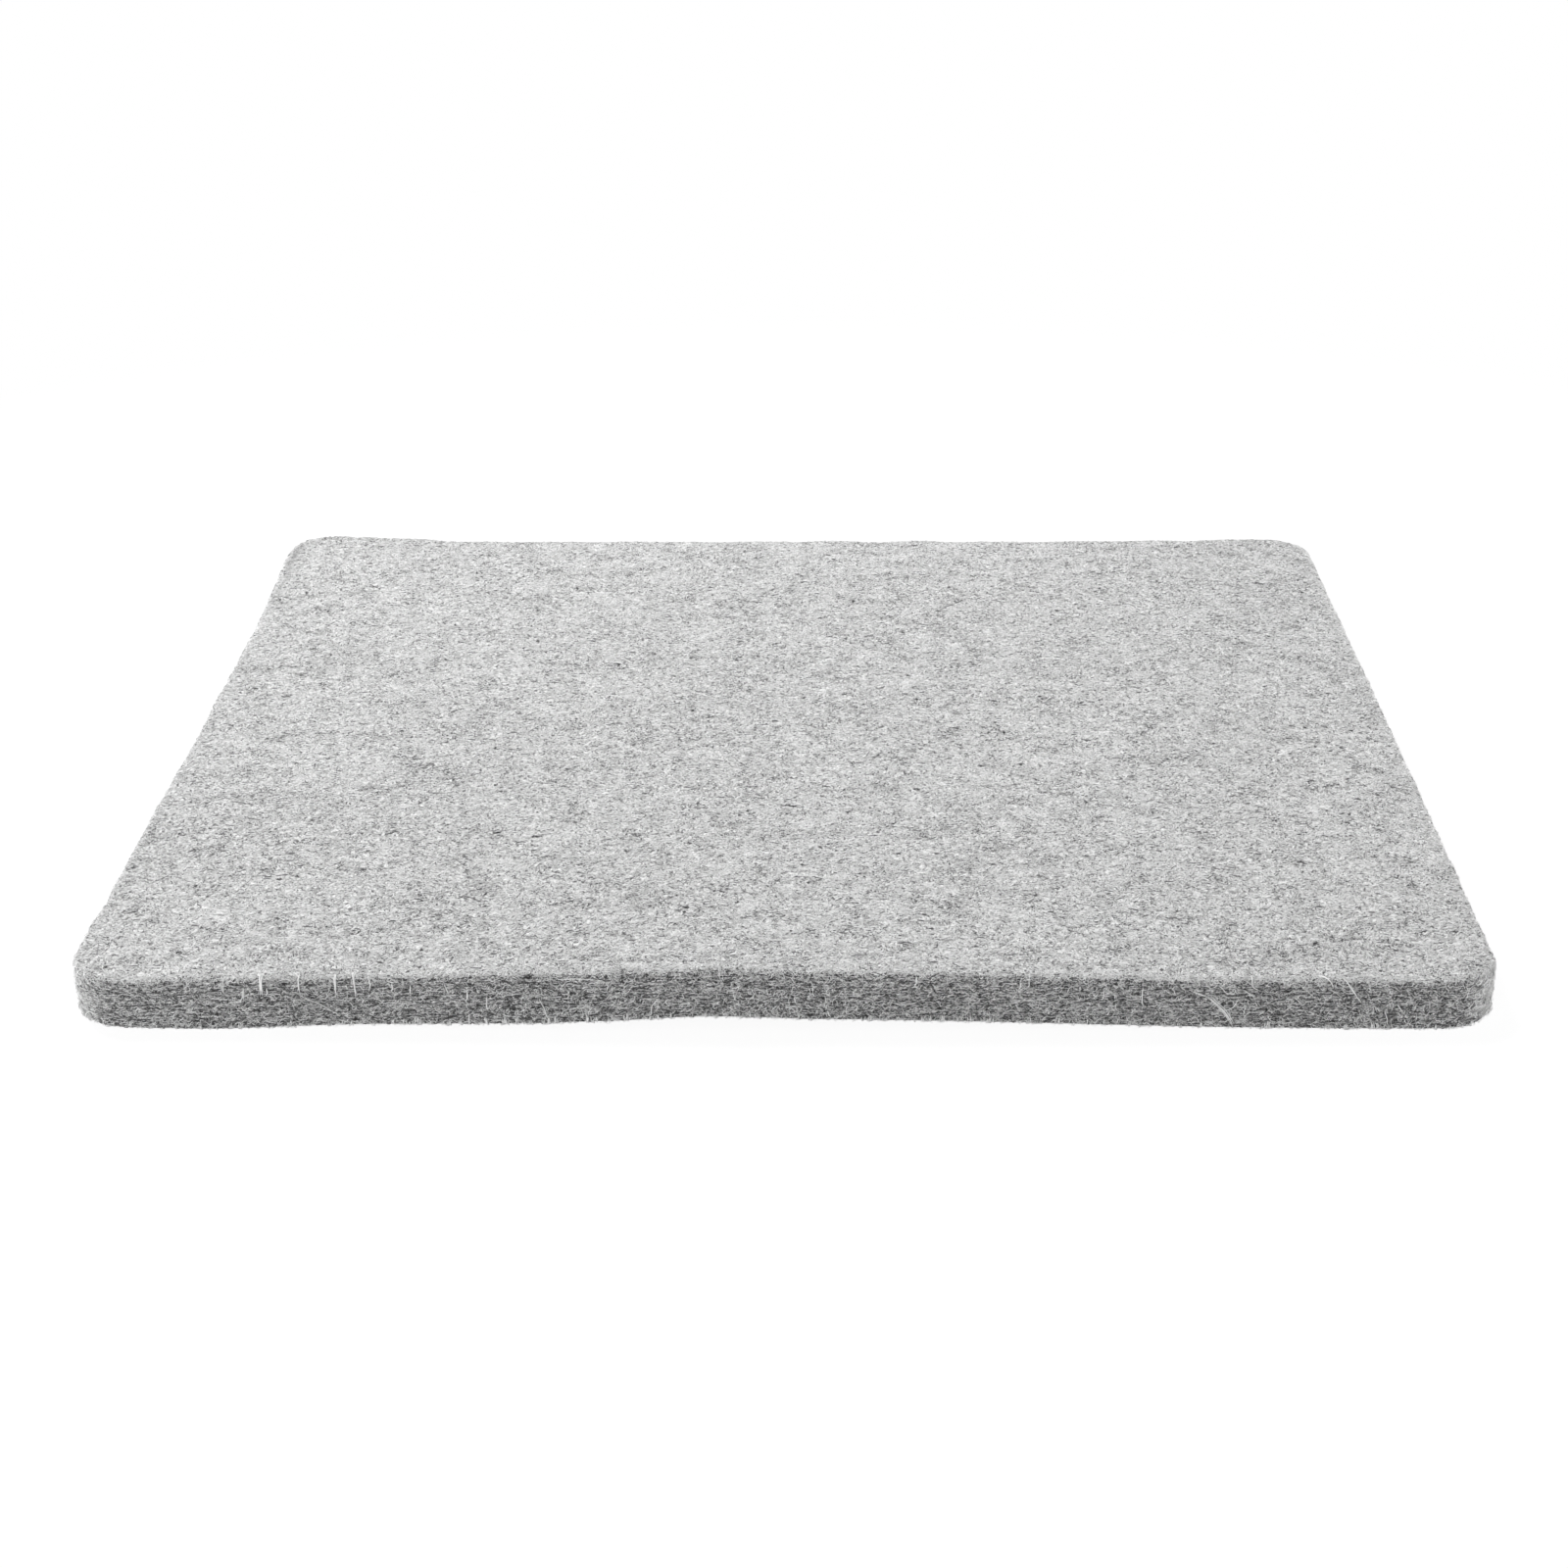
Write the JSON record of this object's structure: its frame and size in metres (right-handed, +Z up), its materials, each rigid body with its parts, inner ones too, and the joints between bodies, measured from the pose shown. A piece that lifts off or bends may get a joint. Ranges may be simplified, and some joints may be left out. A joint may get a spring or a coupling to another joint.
{
  "type": "felt pad",
  "caption": "Thick square pad of grey heather needled wool felt with round corners, laid on a table as a surface to press or iron on.",
  "frame": {"origin": "middle of the pad's outline, on the surface that it lies on", "axes": "+Z up through the thickness, +Y from the front edge with the rise in it to the back edge, +X right along the front edge"},
  "size_m": [0.343, 0.343, 0.0156],
  "materials": {
    "felt": "matt grey heather needled wool felt, with pale and dark fibres and a short fuzzy nap"
  },
  "bodies": {
    "root": {"felt_pad": "felt"}
  },
  "joints": []
}
